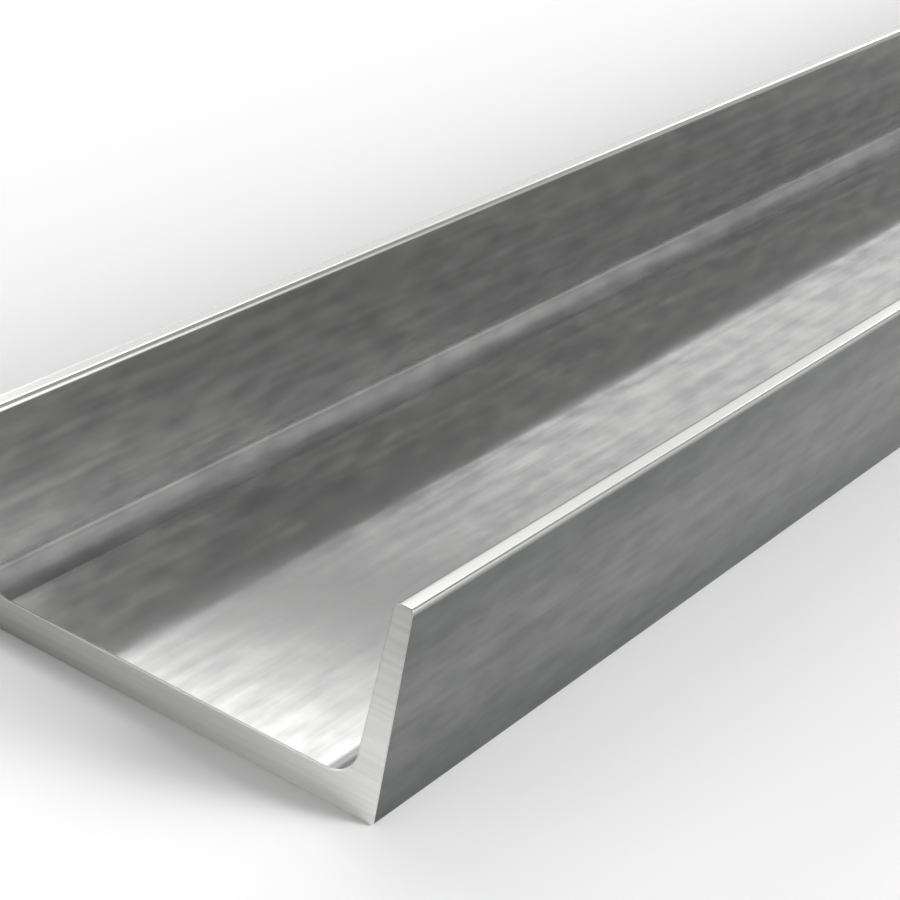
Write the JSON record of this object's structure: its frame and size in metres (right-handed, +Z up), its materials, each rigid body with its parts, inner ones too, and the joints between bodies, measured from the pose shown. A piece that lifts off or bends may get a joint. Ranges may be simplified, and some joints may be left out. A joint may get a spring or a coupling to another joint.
{
  "type": "c-channel",
  "caption": "Straight length of C-channel stock in bare rolled steel: a flat web, an upright flange along each side, filleted roots, lightly tapered flanges and square-cut ends.",
  "frame": {"origin": "middle of the back of the web, which is the face it lies on", "axes": "+Y along the length, +X across the web, +Z up the flanges, out of the open side"},
  "size_m": [0.0762, 0.6096, 0.0349],
  "materials": {
    "rolled_steel": "bare rolled steel, clean and satin, with fine lines along the length and saw-cut ends"
  },
  "bodies": {
    "root": {"c_channel": "rolled_steel"}
  },
  "joints": []
}
